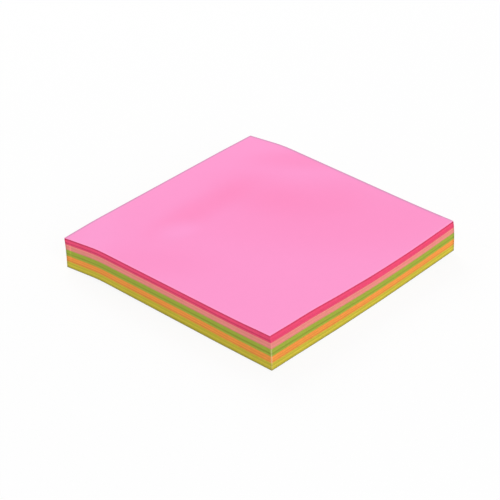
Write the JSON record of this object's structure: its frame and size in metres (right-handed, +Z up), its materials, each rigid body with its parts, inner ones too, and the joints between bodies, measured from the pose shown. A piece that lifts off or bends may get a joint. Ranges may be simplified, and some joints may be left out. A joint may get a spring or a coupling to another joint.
{
  "type": "sticky note pad",
  "caption": "Square pad of removable notes in stacked blocks of coloured paper on a release sheet, bent down along its adhesive edge.",
  "frame": {"origin": "on the table, under the middle of the pad", "axes": "+Y towards the adhesive edge, +X to the right when the adhesive edge is at the back, +Z up from the table"},
  "size_m": [0.076, 0.0764, 0.0109],
  "materials": {
    "pink_paper": "matte",
    "coral_paper": "matte",
    "green_paper": "matte",
    "orange_paper": "matte",
    "yellow_paper": "matte",
    "release_paper": "satin"
  },
  "bodies": {
    "root": {"backing_sheet": "release_paper", "yellow_sheets": "yellow_paper", "orange_sheets": "orange_paper", "green_sheets": "green_paper", "coral_sheets": "coral_paper", "pink_sheets": "pink_paper"}
  },
  "joints": []
}
